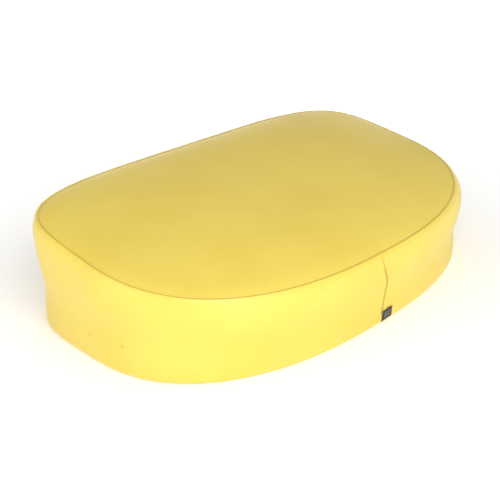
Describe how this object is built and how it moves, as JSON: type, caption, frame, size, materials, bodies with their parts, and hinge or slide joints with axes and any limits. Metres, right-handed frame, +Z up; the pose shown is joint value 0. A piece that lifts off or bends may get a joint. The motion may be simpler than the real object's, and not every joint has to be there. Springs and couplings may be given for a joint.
{
  "type": "tractor seat cushion",
  "caption": "D-shaped, wedge-thick seat cushion: yellow vinyl top and side band over foam on a plywood board, with tee nuts underneath.",
  "frame": {"origin": "middle of the cushion's bounding box, on the plane of the hem that it rests on", "axes": "+X along the width, to the left of a sitter who faces the curved front, +Y towards the straight back edge, +Z up"},
  "size_m": [0.508, 0.304, 0.1281],
  "materials": {
    "yellow_vinyl": "semi-gloss embossed vinyl",
    "firm_foam": "open-cell foam",
    "soft_foam": "open-cell foam",
    "plywood": "sanded, unfinished",
    "zinc_steel": "zinc plated",
    "staple_wire": "galvanised wire",
    "thread": "bonded polyester",
    "label_cloth": "woven"
  },
  "bodies": {
    "root": {"base_board": "plywood", "t_nuts": "zinc_steel", "foam_core": "firm_foam", "foam_topper": "soft_foam", "top_panel": "yellow_vinyl", "side_band": "yellow_vinyl", "top_seam_thread": "thread", "band_seam_thread": "thread", "hem_staples": "staple_wire", "woven_label": "label_cloth"}
  },
  "joints": []
}
